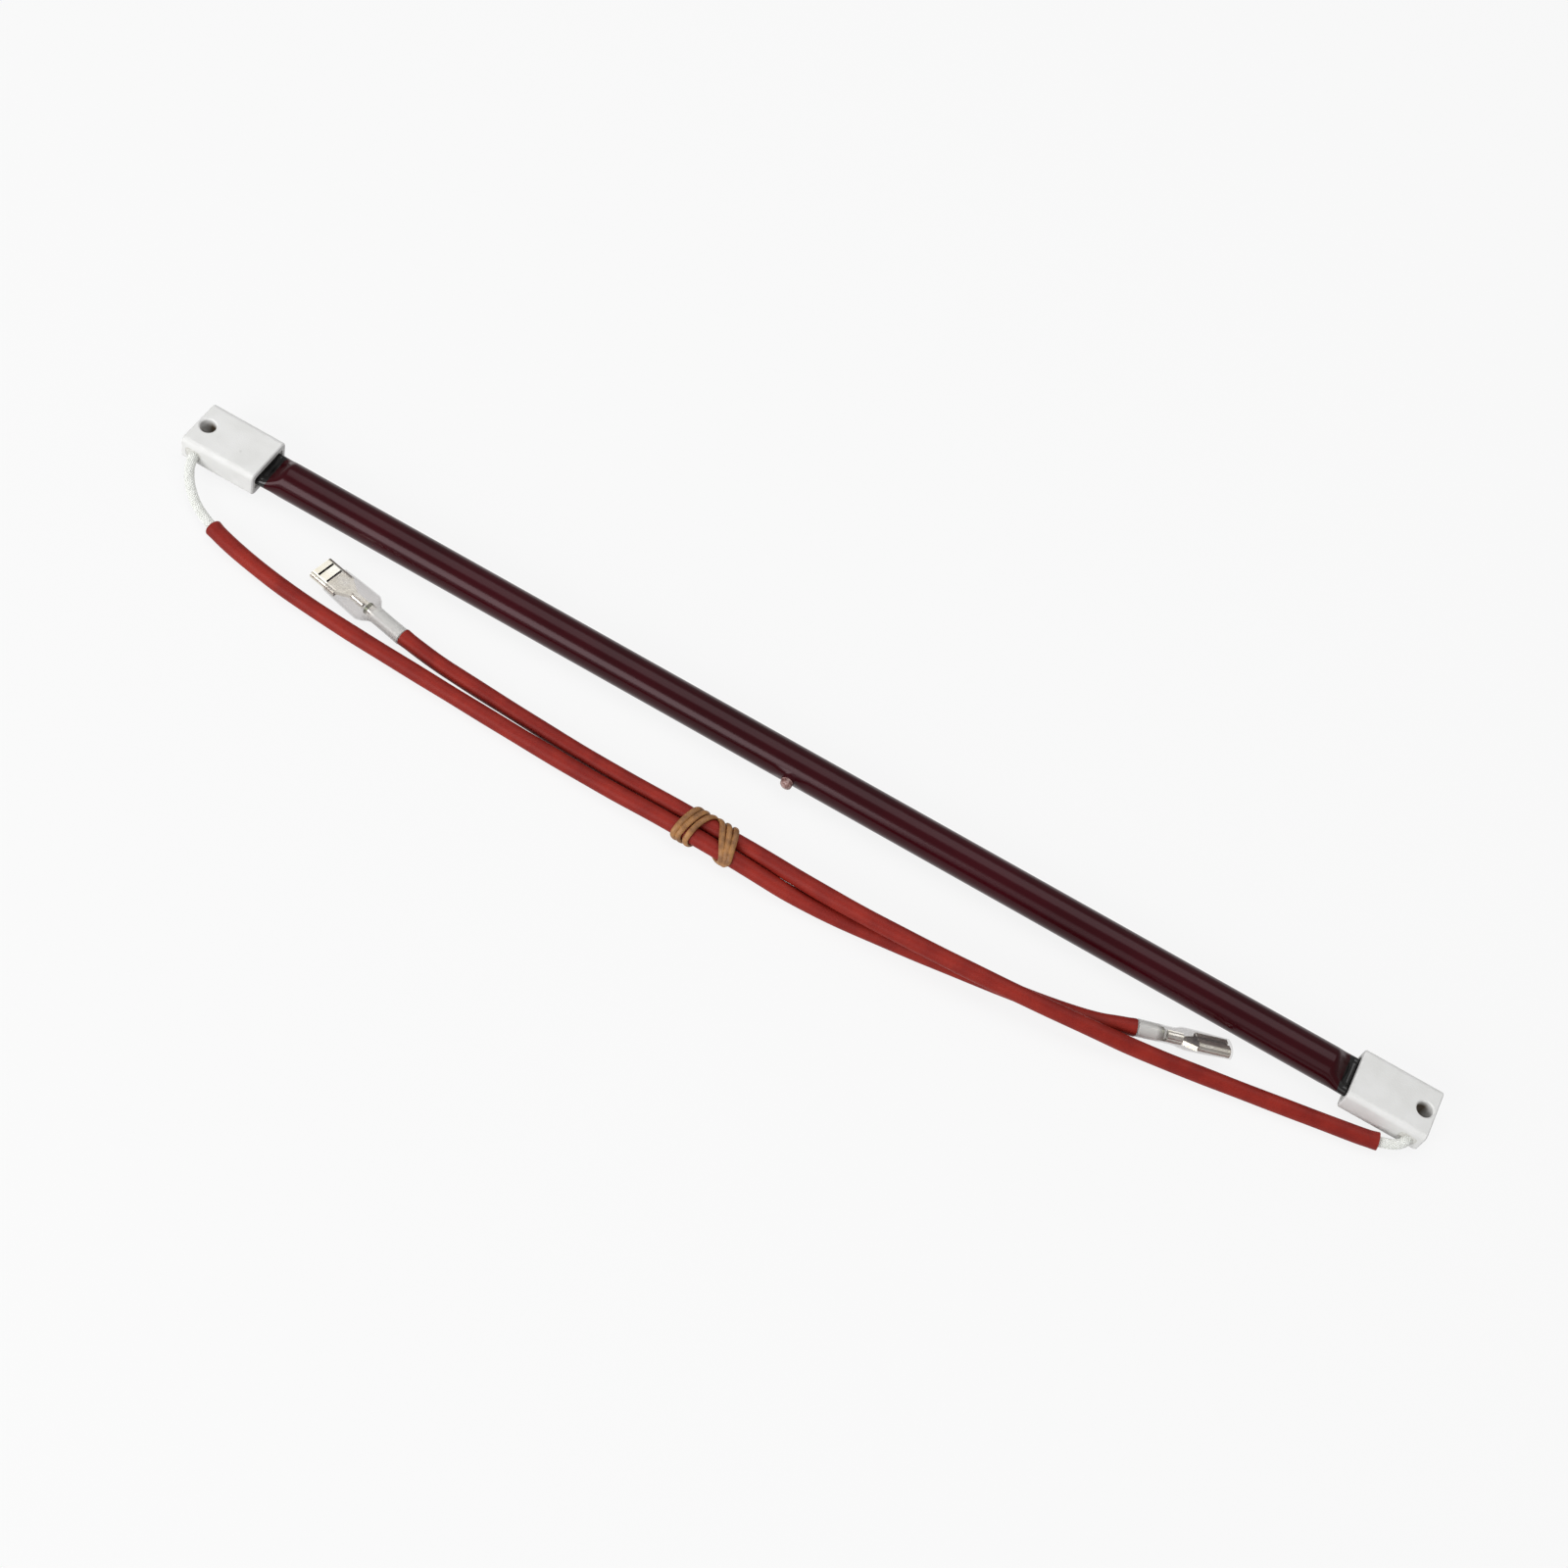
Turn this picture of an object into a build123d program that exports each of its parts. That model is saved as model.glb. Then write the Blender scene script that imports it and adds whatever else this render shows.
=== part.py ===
from build123d import *
import os
from math import cos, pi, radians, sin, tan

# Halogen infrared heating lamp: a ruby fused-quartz tube, pinched flat at both ends, with a
# ceramic block cemented on each end and one insulated lead out of the front of each block.
# Millimetres. X runs along the tube, Y to the back, +Z up. The origin is below the middle of
# the tube, on the surface that the tube lies on.

# Quartz tube
overall_length = 355.0
tube_d = 10.0
tube_wall = 1.0
axis_z = tube_d / 2

# Pinch seals, flat in the horizontal plane
pinch_width = 11.4
pinch_web = 2.0
pinch_rim_d = 2.8
pinch_depth = 7.0
pinch_exposed = 1.0
pinch_overlap = 0.4
shoulder_length = 5.5
shoulder_height = 3.4
hollow_end_gap = 0.8
hollow_end_d = 1.2

# Pumping tip, melted shut on the front side
tip_height = 3.5
tip_base_r = 2.3
tip_flare_height = 1.2
tip_neck_r = 1.45
tip_shoulder_r = 1.3
tip_end_r = 0.9
tip_end_height = 0.3
tip_bore_r = 0.5
tip_bore_height = 1.4

# Filament and its supports
coil_d = 3.0
coil_bore = 2.2
coil_end_gap = 13.0
plug_length = 7.0
inner_lead_d = 0.8
small_sides = 8
support_count = 9
support_pitch = 30.0
support_turns = 1.5
support_wire = 0.45
support_sides = 12
support_clearance = 0.03

# Foil seal inside each pinch
foil_width = 4.0
foil_length = 4.6
foil_thickness = 0.2
foil_start_gap = 1.6

# Ceramic end blocks
block_length = 21.4
block_width = 15.0
block_height = 7.6
block_long_r = 1.5
block_end_chamfer = 0.3
match_tolerance = 0.01
socket_width = 12.6
socket_height = 4.2
socket_corner_r = 1.0
socket_end_wall = 1.35
cement_recess = 0.4
mount_hole_d = 4.3
mount_hole_inset = 3.0
mount_hole_chamfer = 0.35
port_width = 4.6
port_height = 3.4
port_corner_r = 1.2
port_inset = 3.6
channel_clearance = 0.25

# Pin and splice that join each foil to its lead
pin_d = 1.2
pin_jog_gap = 1.2
splice_gap = 1.3
ferrule_d = 2.6
ferrule_length = 3.4
ferrule_pin_share = 0.5

# Leads: glass-braid wire in a loose silicone sleeve, drawn with flat-sided sections
lead_hole_wall = 0.7
lead_turn_offset = 0.4
wire_d = 2.6
core_d = 1.2
core_length_terminal = 4.0
sleeve_d = 4.3
sleeve_bore = 2.9
arc_share = 0.45
wire_sides = 6
sleeve_sides = 8

# Push-on terminals for a 6.3 mm tab
terminal_length = 20.0
terminal_width = 7.6
terminal_height = 2.4
terminal_sheet = 0.35
curl_length = 8.0
curl_gap = 1.4
neck_length = 3.5
neck_wide = 6.4
barrel_length = 3.9
barrel_d = 2.5
grip_length = 3.4
grip_d = 3.3
grip_gap = 0.7
slot_from_mouth = (1.8, 4.7)
slot_size = 0.6
slot_reach = 5.2
crimp_notch = 0.5
wire_in_grip = 4.1
spine_width = 1.0
cut_over = 1.0

# Clear covers over the terminals
cover_length = 23.5
cover_wide_length = 11.6
cover_taper_length = 3.0
cover_mouth = (8.4, 3.6)
cover_shoulder = (9.2, 4.2)
cover_neck_d = 4.2
cover_wall = 0.3
cover_sleeve_gap = 0.2
cover_sides = 12
cover_mouth_back_left_lead = -0.4
cover_mouth_back_right_lead = 5.0

# Rubber band round both leads: the place of each turn along X and its slant in degrees
band_strand = 1.15
band_clearance = 0.25
band_y = -29.75
band_z = 3.6
band_lead_spacing = 4.95
band_sides = 12
band_turns = (
    (-15.7, 12.0),
    (-13.75, -8.5),
    (-11.5, 10.0),
    (-6.2, -32.0),
    (-4.5, -26.0),
    (-2.1, -9.0),
)

# Worked out from the sizes above
end_x = overall_length / 2
block_in_x = end_x - block_length
pinch_end_x = block_in_x + pinch_depth
pinch_start_x = block_in_x - pinch_exposed
round_end_x = pinch_start_x - shoulder_length
hollow_end_x = pinch_start_x - hollow_end_gap
foil_start_x = pinch_start_x + foil_start_gap
foil_end_x = foil_start_x + foil_length
coil_end_x = round_end_x - coil_end_gap
mount_x = end_x - mount_hole_inset
socket_end_x = mount_x - mount_hole_d / 2 - socket_end_wall
splice_start_x = pinch_end_x + pin_jog_gap + splice_gap
lead_start_x = splice_start_x + ferrule_length
port_x = end_x - port_inset
lead_turn_x = port_x + lead_turn_offset
lead_y = -(mount_hole_d / 2 + lead_hole_wall + channel_clearance + wire_d / 2)

# Routes of the two leads, from the splice in the block to the terminal's grip. The lead of
# the left block lies in front. The right block's lead crosses over it near the right end.
left_route = [
    (-lead_start_x, lead_y, axis_z),
    (-lead_turn_x, lead_y, axis_z),
    (-174.1, -9.6, 4.7),
    (-170.6, -14.8, 2.9),
    (-163.5, -20.2, 2.2),
    (-150.0, -24.6, 2.15),
    (-127.0, -28.4, 2.15),
    (-84.0, -30.2, 2.15),
    (-42.0, -31.6, 2.15),
    (-20.0, -31.9, 3.6),
    (2.0, -32.3, 3.6),
    (20.0, -32.5, 2.15),
    (49.0, -28.9, 2.15),
    (79.0, -24.1, 2.15),
    (94.0, -21.0, 2.4),
    (102.0, -18.3, 4.2),
    (111.0, -15.2, 4.2),
]
right_route = [
    (lead_start_x, lead_y, axis_z),
    (lead_turn_x, lead_y, axis_z),
    (173.9, -9.6, 4.3),
    (168.0, -11.2, 2.5),
    (156.0, -13.2, 2.15),
    (134.0, -17.2, 2.15),
    (109.0, -22.0, 3.0),
    (93.0, -25.4, 6.0),
    (66.0, -28.3, 6.9),
    (37.0, -29.2, 6.9),
    (20.0, -28.2, 5.0),
    (4.0, -27.4, 3.5),
    (-20.0, -27.3, 3.6),
    (-42.0, -26.8, 2.15),
    (-78.0, -25.0, 2.15),
    (-96.0, -23.7, 2.15),
    (-113.8, -19.9, 2.15),
]

# How far along each lead its sleeve starts
left_sleeve_start = 29.0
right_sleeve_start = 14.5

# Turn of each terminal about its own axis, in degrees
left_lead_terminal_roll = 142.0
right_lead_terminal_roll = 0.0


def rod(d, x0, x1, y=0.0, sides=0):
    """Bar along X, round or with flat sides measured across the corners."""
    outline = RegularPolygon(d / 2, sides) if sides else Circle(d / 2)
    return Plane.YZ.offset(x0) * Pos(y, axis_z) * extrude(outline, x1 - x0)


def section(x, shape, z=axis_z):
    """Flat outline square to the tube at one place along it."""
    return Plane.YZ.offset(x) * Pos(0, z) * shape


def other_end(piece):
    """The same piece at the left end."""
    return mirror(piece, about=Plane.YZ)


def inner_lead():
    """Tungsten lead: a plug in the end of the coil and a thin rod on to the foil."""
    plug = rod(coil_bore, coil_end_x - plug_length, coil_end_x, sides=small_sides)
    return plug + rod(inner_lead_d, coil_end_x, foil_start_x, sides=small_sides)


def foil():
    """Molybdenum foil that carries the current through the pinch."""
    centre = (foil_start_x + foil_end_x) / 2
    return Pos(centre, 0, axis_z) * Box(foil_length, foil_width, foil_thickness)


def outer_pin():
    """Pin from the foil out of the pinch, cranked sideways to the splice."""
    jog_x = pinch_end_x + pin_jog_gap
    pin_end_x = splice_start_x + ferrule_length * ferrule_pin_share
    points = [(foil_end_x, 0), (jog_x, 0), (jog_x, lead_y), (pin_end_x, lead_y)]
    path = Polyline(*[(x, y, axis_z) for x, y in points])
    outline = section(foil_end_x, RegularPolygon(pin_d / 2, small_sides))
    return sweep(outline, path=path, transition=Transition.RIGHT)


def splice_ferrule():
    """Crimped nickel tube over the pin and the stripped end of the lead."""
    ends = (splice_start_x, lead_start_x, lead_y, small_sides)
    return rod(ferrule_d, *ends) - rod(pin_d, *ends)


def shoulder():
    """Quartz drawn down from the round tube to the flat pinch."""
    flat = Ellipse(pinch_width / 2, shoulder_height / 2)
    return loft([section(round_end_x, Circle(tube_d / 2)), section(pinch_start_x, flat)])


def pinch():
    """Flat seal with a thicker rim along each long edge."""
    length = pinch_end_x - pinch_start_x + pinch_overlap
    middle = pinch_end_x - length / 2
    web = Pos(middle, 0, axis_z) * Box(length, pinch_width - pinch_rim_d, pinch_web)
    rim_y = (pinch_width - pinch_rim_d) / 2
    rims = [rod(pinch_rim_d, pinch_end_x - length, pinch_end_x, side * rim_y) for side in (-1, 1)]
    return web + rims


def pumping_tip():
    """Melted-off stub of the exhaust tube, pointing to the front."""
    root = tube_d / 2 - tube_wall / 2
    top = tube_d / 2 + tip_height
    rings = [
        (tip_base_r, root),
        (tip_neck_r, root + tip_flare_height),
        (tip_shoulder_r, top - tip_end_r),
        (tip_end_r, top - tip_end_height),
        (0.0, top),
    ]
    outline = make_face(Polyline((0.0, root), *rings, close=True))
    return Pos(0, 0, axis_z) * Rot(180, 0, 0) * revolve(outline, Axis.Y)


def quartz_envelope():
    """Ruby quartz tube with both pinches and the tip, hollow, round the pieces sealed in it."""
    outer = rod(tube_d, -round_end_x, round_end_x)
    hollow = rod(tube_d - 2 * tube_wall, -round_end_x, round_end_x)
    end = shoulder() + pinch()
    hollow_end = section(hollow_end_x, Circle(hollow_end_d / 2))
    end_hollow = loft([section(round_end_x, Circle(tube_d / 2 - tube_wall)), hollow_end])
    outer += [end, other_end(end), pumping_tip()]
    bore_top = tube_d / 2 + tip_bore_height
    tip_bore = Plane.XZ.offset(tube_d / 2 - 2 * tube_wall) * Pos(0, axis_z)
    tip_bore = tip_bore * extrude(Circle(tip_bore_r), bore_top - tube_d / 2 + 2 * tube_wall)
    hollow += [end_hollow, other_end(end_hollow), tip_bore]
    sealed = [inner_lead(), foil(), outer_pin()]
    return outer - hollow - sealed - [other_end(piece) for piece in sealed]


def filament_coil():
    """Outer form of the tungsten coil; its turns are too fine to draw one by one."""
    return rod(coil_d, -coil_end_x, coil_end_x) - rod(coil_bore, -coil_end_x, coil_end_x)


def filament_support(x):
    """Flat tungsten spiral that grips the coil and springs against the tube wall."""
    r_start = coil_d / 2 + support_clearance
    r_end = tube_d / 2 - tube_wall - support_clearance - support_wire

    def spiral(extra):
        points = []
        for i in range(support_sides + 1):
            share = i / support_sides
            r = r_start + (r_end - r_start) * share + extra
            turn = 2 * pi * support_turns * share
            points.append((r * cos(turn), r * sin(turn)))
        return points

    outline = make_face(Polyline(*spiral(0), *reversed(spiral(support_wire)), close=True))
    return Plane.YZ.offset(x - support_wire / 2) * Pos(0, axis_z) * extrude(outline, support_wire)


def route_radii(points):
    """One bend radius for each corner, as large as its two runs allow."""
    radii = []
    for before, here, after in zip(points, points[1:], points[2:]):
        a = Vector(*before) - Vector(*here)
        b = Vector(*after) - Vector(*here)
        turn = 180 - a.get_angle(b)
        radii.append(arc_share * min(a.length, b.length) / tan(radians(turn / 2)))
    return radii


def swept(path, d, sides):
    """Bar along a path, its flat sides measured across the corners."""
    return sweep((path ^ 0) * RegularPolygon(d / 2, sides), path=path)


def route_path(points):
    """Straight runs joined by tangent arcs."""
    return FilletPolyline(*points, radius=route_radii(points))


def sleeve_path(points, start, mouth_back):
    """The part of a lead that its sleeve covers, up to the neck of the terminal's cover."""
    path = route_path(points)
    cover_reach = cover_length + mouth_back - terminal_length
    end = path.length - wire_in_grip - cover_reach - cover_sleeve_gap
    return path.trim(start / path.length, end / path.length)


def lead_wire(points):
    """Glass-braid wire with its strands bared at both ends."""
    path = route_path(points)
    splice_core = Plane(origin=path @ 0, z_dir=(path % 0) * -1)
    terminal_core = Plane(origin=path @ 1, z_dir=path % 1)
    wire = swept(path, wire_d, wire_sides)
    core = RegularPolygon(core_d / 2, small_sides)
    wire += splice_core * extrude(core, ferrule_length * (1 - ferrule_pin_share))
    return wire + terminal_core * extrude(core, core_length_terminal)


def lead_sleeve(points, start, mouth_back):
    """Loose red sleeve over the wire."""
    path = sleeve_path(points, start, mouth_back)
    return swept(path, sleeve_d, sleeve_sides) - swept(path, sleeve_bore, sleeve_sides)


def ceramic_block():
    """Steatite end block with a screw hole, a socket for the pinch and a side port."""
    block = Pos(end_x - block_length / 2, 0, axis_z) * Box(block_length, block_width, block_height)
    block = fillet(block.edges().filter_by(Axis.X), block_long_r)
    block = chamfer(block.faces().filter_by(Axis.X).edges(), block_end_chamfer)
    channel = rod(wire_d + 2 * channel_clearance, lead_start_x, port_x + port_width / 4, lead_y)
    port_depth = block_width / 2 + lead_y
    port = Plane.XZ.offset(-lead_y) * Pos(port_x, axis_z)
    port = port * extrude(RectangleRounded(port_width, port_height, port_corner_r), port_depth)
    block -= [socket_form(block_in_x), channel, port]
    block -= Pos(mount_x, 0, axis_z) * Cylinder(mount_hole_d / 2, 2 * block_height)
    mouths = block.edges().filter_by(GeomType.CIRCLE)
    mouths = mouths.filter_by(lambda e: abs(e.radius - mount_hole_d / 2) < match_tolerance)
    return chamfer(mouths, mount_hole_chamfer)


def socket_form(start_x):
    """Space in the block for the pinch, the splice and the cement."""
    outline = RectangleRounded(socket_width, socket_height, socket_corner_r)
    return extrude(section(start_x, outline), socket_end_x - start_x)


def cement():
    """White refractory cement that fills the socket round the pinch and the splice."""
    fill = socket_form(block_in_x + cement_recess)
    splice = rod(ferrule_d, splice_start_x, lead_start_x, lead_y, small_sides)
    fill -= [pinch(), outer_pin(), splice]
    lead = rod(wire_d, lead_start_x, end_x, lead_y, wire_sides)
    return fill - lead


def terminal():
    """Push-on terminal in its own frame: X to the mouth, flat back up, the wire on the X axis."""
    half_h = terminal_height / 2
    body_x = terminal_length - curl_length
    outline = SlotOverall(terminal_width, terminal_height)
    inside = SlotOverall(terminal_width - 2 * terminal_sheet, terminal_height - 2 * terminal_sheet)
    body = Plane.YZ.offset(body_x) * extrude(outline - inside, curl_length)
    curl_cut = Box(curl_length + cut_over, curl_gap, terminal_height)
    body -= Pos(body_x + curl_length / 2, 0, -half_h) * curl_cut
    for back in slot_from_mouth:
        body -= Pos(terminal_length - back, 0, half_h) * Box(slot_size, slot_reach, terminal_sheet * 3)

    grip_r = grip_d / 2
    walls = []
    for trim in (0, 2 * terminal_sheet):
        near = Plane.YZ.offset(body_x - neck_length) * Rectangle(barrel_d - trim, terminal_height - trim)
        far = Plane.YZ.offset(body_x) * Rectangle(neck_wide - trim, terminal_height - trim)
        walls.append(loft([near, far], ruled=True))
    neck = walls[0] - walls[1]
    open_side = Box(neck_length + cut_over, terminal_width, terminal_height)
    neck -= Pos(body_x - neck_length / 2, 0, -half_h) * open_side

    barrel_x = body_x - neck_length - barrel_length
    barrel = Plane.YZ.offset(barrel_x) * extrude(Circle(barrel_d / 2) - Circle(core_d / 2), barrel_length)
    notch = Plane.YZ.offset(barrel_x) * Pos(0, -barrel_d / 2)
    barrel -= notch * extrude(Rectangle(crimp_notch, crimp_notch, rotation=45), barrel_length)

    grip = extrude(Plane.YZ * (Circle(grip_r) - Circle(wire_d / 2)), grip_length)
    grip -= Pos(grip_length / 2, 0, -grip_r) * Box(grip_length + cut_over, grip_gap, grip_r)

    spine_height = grip_r - wire_d / 2
    spine_length = body_x - neck_length
    spine = Pos(spine_length / 2, 0, grip_r - spine_height / 2) * Box(spine_length, spine_width, spine_height)
    saddle_height = grip_r - (barrel_d + core_d) / 4
    saddle = Box(barrel_length, spine_width, saddle_height)
    saddle = Pos(barrel_x + barrel_length / 2, 0, grip_r - saddle_height / 2) * saddle
    return body + neck + barrel + grip + spine + saddle


def terminal_cover():
    """Clear soft sleeve in the terminal's frame, its mouth at X = 0 and its neck behind."""
    neck = (cover_neck_d, cover_neck_d)
    places = (
        (0, cover_mouth),
        (-cover_wide_length, cover_shoulder),
        (-cover_wide_length - cover_taper_length, neck),
        (-cover_length, neck),
    )

    def form(trim):
        outlines = []
        for x, (width, height) in places:
            outlines.append(Plane.YZ.offset(x) * flat_oval(width - trim, height - trim, cover_sides))
        return loft(outlines, ruled=True)

    return form(0) - form(2 * cover_wall)


def on_lead(points, roll, piece, mouth_shift=0.0):
    """Puts a piece from the terminal's frame on the end of a lead."""
    tail = Vector(*points[-1])
    ahead = (tail - Vector(*points[-2])).normalized()
    rear = tail - ahead * wire_in_grip
    side = Vector(0, 0, 1).cross(ahead)
    frame = Plane(origin=rear, x_dir=ahead, z_dir=ahead.cross(side))
    return frame * Rot(roll, 0, 0) * Pos(mouth_shift, 0, 0) * piece


def flat_oval(width, height, sides):
    """Oval outline with flat sides, its ends drawn round a circle as high as the oval."""
    r = height / 2 / cos(pi / sides)
    points = []
    for i in range(sides):
        turn = 2 * pi * (i + 0.5) / sides
        shift = (width - height) / 2 if cos(turn) > 0 else (height - width) / 2
        points.append((shift + r * cos(turn), r * sin(turn)))
    return make_face(Polyline(*points, close=True))


def band_turn(x, slant):
    """One turn of the rubber band round both leads."""
    height = sleeve_d + 2 * band_clearance
    width = (band_lead_spacing + sleeve_d) / cos(radians(slant)) + 2 * band_clearance
    inner = flat_oval(width, height, band_sides)
    outer = flat_oval(width + 2 * band_strand, height + 2 * band_strand, band_sides)
    loop = Plane.YZ * extrude(outer - inner, band_strand / 2, both=True)
    return Pos(x, band_y, band_z) * Rot(0, 0, -slant) * loop


def rubber_band():
    """All turns of the band as one solid."""
    turns = [band_turn(*turn) for turn in band_turns]
    return turns[0] + turns[1:]


def all_parts():
    """Every separate piece under its node name."""
    parts = {
        "ruby_quartz_envelope": quartz_envelope(),
        "filament_coil": filament_coil(),
        "rubber_band": rubber_band(),
    }
    for i in range(support_count):
        x = (i - (support_count - 1) / 2) * support_pitch
        parts[f"filament_support_{i + 1}"] = filament_support(x)
    pairs = {
        "inner_lead": inner_lead(),
        "seal_foil": foil(),
        "outer_pin": outer_pin(),
        "splice_ferrule": splice_ferrule(),
        "ceramic_block": ceramic_block(),
        "cement_fill": cement(),
    }
    for name, piece in pairs.items():
        parts[f"{name}_right"] = piece
        parts[f"{name}_left"] = other_end(piece)
    leads = (
        ("left_lead", left_route, left_sleeve_start, left_lead_terminal_roll, cover_mouth_back_left_lead),
        ("right_lead", right_route, right_sleeve_start, right_lead_terminal_roll, cover_mouth_back_right_lead),
    )
    for name, points, start, roll, mouth_back in leads:
        parts[f"{name}_wire"] = lead_wire(points)
        parts[f"{name}_sleeve"] = lead_sleeve(points, start, mouth_back)
        parts[f"{name}_terminal"] = on_lead(points, roll, terminal())
        mouth = terminal_length - mouth_back
        parts[f"{name}_terminal_cover"] = on_lead(points, roll, terminal_cover(), mouth)
        report_lead(name, points, parts[f"{name}_sleeve"], sleeve_path(points, start, mouth_back))
    return parts


def report_lead(name, points, sleeve, path):
    """Prints the bend radii, the length and the sleeve's volume against section times length."""
    print(name, "bend radii", [round(r, 1) for r in route_radii(points)])
    print(name, "wire length", round(route_path(points).length, 1))
    area = sleeve_sides * sin(2 * pi / sleeve_sides) * (sleeve_d**2 - sleeve_bore**2) / 8
    print(name, "sleeve length", round(path.length, 1), "volume ratio", round(sleeve.volume / (area * path.length), 4))


os.makedirs("parts", exist_ok=True)
for node, shape in all_parts().items():
    export_step(shape, f"parts/{node}.step")
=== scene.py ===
import math

import bmesh
import bpy
from mathutils import Matrix, Vector


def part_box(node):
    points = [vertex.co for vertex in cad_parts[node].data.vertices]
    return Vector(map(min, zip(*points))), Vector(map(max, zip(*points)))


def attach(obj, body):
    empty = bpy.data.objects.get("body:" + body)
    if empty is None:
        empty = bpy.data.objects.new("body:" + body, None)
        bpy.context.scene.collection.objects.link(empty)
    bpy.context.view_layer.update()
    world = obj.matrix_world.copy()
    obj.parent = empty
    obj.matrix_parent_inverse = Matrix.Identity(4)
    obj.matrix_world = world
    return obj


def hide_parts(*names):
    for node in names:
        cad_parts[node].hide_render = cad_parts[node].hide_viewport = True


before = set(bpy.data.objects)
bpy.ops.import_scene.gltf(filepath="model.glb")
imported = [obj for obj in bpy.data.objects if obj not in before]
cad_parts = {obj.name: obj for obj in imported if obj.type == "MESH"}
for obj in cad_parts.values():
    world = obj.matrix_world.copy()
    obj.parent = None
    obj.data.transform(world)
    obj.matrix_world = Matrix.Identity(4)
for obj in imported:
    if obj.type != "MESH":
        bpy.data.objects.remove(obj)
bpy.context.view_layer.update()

# Quartz envelope. One tube of fused quartz with a dark ruby colour, pressed flat at each end round
# its foil, where the quartz is bare and grey. The melted-off stub of the exhaust tube is on its
# front side. It is drawn from a gas flame, so its surface is fire-polished.
mm = 0.001
envelope_low, envelope_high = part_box("ruby_quartz_envelope")
block_low, block_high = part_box("ceramic_block_right")
tube_r = (envelope_high.z - envelope_low.z) / 2
axis_z = (envelope_high.z + envelope_low.z) / 2
quartz_wall = 1.0 * mm
seal_end_x = envelope_high.x
seal_start_x = block_low.x - 1.0 * mm
shoulder_start_x = seal_start_x - 5.5 * mm
seal_half_width = 5.7 * mm
seal_half_web = 1.0 * mm
seal_rim_r = 1.4 * mm
hollow_end_x = seal_start_x - 0.8 * mm
ruby_end_x = block_low.x - 2.1 * mm
ruby_end_bow = 1.2 * mm
quartz_sides = 96
tube_rings = 60
shoulder_rings = 24
seal_rings = 8
tip_profile = ((-1.3, 3.2), (-0.7, 2.55), (-0.2, 2.1), (0.3, 1.82), (0.7, 1.68), (1.1, 1.6))
tip_profile += ((1.5, 1.6), (1.9, 1.48), (2.2, 1.15), (2.4, 0.6))
tip_ruby_height = 0.7
tip_height = 2.6
tip_lean = 0.3
tip_end_share = 0.2
tip_sides = 48
bow_run = 2.0 * mm
hollow_end_share = 0.08
cloud_detail = 5
cloud_from = 0.35
cloud_to = 0.65
relief_detail = 4


def smooth(share):
    """Eases a share from 0 to 1."""
    share = min(max(share, 0.0), 1.0)
    return share * share * (3 - 2 * share)


def seal_height(y):
    """Half the thickness of the flat seal at a distance from its middle line."""
    rim_y = seal_half_width - seal_rim_r
    if abs(y) > rim_y:
        return math.sqrt(max(seal_rim_r**2 - (abs(y) - rim_y) ** 2, 0))
    rise = smooth((abs(y) - rim_y) / seal_rim_r + 1)
    return seal_half_web + (seal_rim_r - seal_half_web) * rise


def quartz_ring(x, inset=0.0, bow=0.0):
    """Points round the quartz at one place along it, round in the tube and flat in the seal."""
    ring = []
    for i in range(quartz_sides):
        turn = 2 * math.pi * i / quartz_sides
        here = x - math.copysign(bow * abs(math.sin(turn)), x)
        flat = smooth((abs(here) - shoulder_start_x) / (seal_start_x - shoulder_start_x))
        round_y = (tube_r - inset) * math.cos(turn)
        round_z = (tube_r - inset) * math.sin(turn)
        flat_y = seal_half_width * math.cos(turn)
        flat_z = math.copysign(seal_height(flat_y), math.sin(turn))
        y = round_y + (flat_y - round_y) * flat
        z = round_z + (flat_z - round_z) * flat
        ring.append(Vector((here, y, axis_z + z)))
    return ring


def skin(name, rings, lengths=None, loop=False, arc=1.0):
    """Mesh over rings of points, closed at both ends or joined end to end, with a UV map in metres."""
    shape = bmesh.new()
    uv = shape.loops.layers.uv.new("UVMap")
    rows = [[shape.verts.new(point) for point in ring] for ring in rings]
    lengths = lengths or [0.0] * len(rows)
    sides = len(rings[0])
    last = len(rows) if loop else len(rows) - 1
    for r in range(last):
        here, there = rows[r], rows[(r + 1) % len(rows)]
        u = (lengths[r], lengths[(r + 1) % len(rows)])
        for i in range(sides):
            j = (i + 1) % sides
            face = shape.faces.new((here[i], here[j], there[j], there[i]))
            corners = ((u[0], i), (u[0], i + 1), (u[1], i + 1), (u[1], i))
            for corner, (along, step) in zip(face.loops, corners):
                corner[uv].uv = (along, arc * step / sides)
    if not loop:
        shape.faces.new(rows[0][::-1])
        shape.faces.new(rows[-1])
    bmesh.ops.recalc_face_normals(shape, faces=shape.faces)
    mesh = bpy.data.meshes.new(name)
    shape.to_mesh(mesh)
    shape.free()
    return mesh


def add_mesh(mesh, other):
    """Adds the faces of another mesh to a mesh."""
    both = bmesh.new()
    both.from_mesh(mesh)
    both.from_mesh(other)
    both.to_mesh(mesh)
    both.free()


def thing(name, mesh, *materials):
    """Object for a mesh, with its materials."""
    piece = bpy.data.objects.new(name, mesh)
    bpy.context.scene.collection.objects.link(piece)
    for material in materials:
        mesh.materials.append(material)
    return piece


def finish(name, colour, roughness, **sockets):
    """Material with a plain colour to start from, and its other values set on the shader itself."""
    material = bpy.data.materials.new(name)
    material.use_nodes = True
    shader = material.node_tree.nodes["Principled BSDF"]
    shader.inputs["Base Color"].default_value = (*colour, 1)
    shader.inputs["Roughness"].default_value = roughness
    for socket, value in sockets.items():
        shader.inputs[socket.replace("_", " ")].default_value = value
    return material


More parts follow.
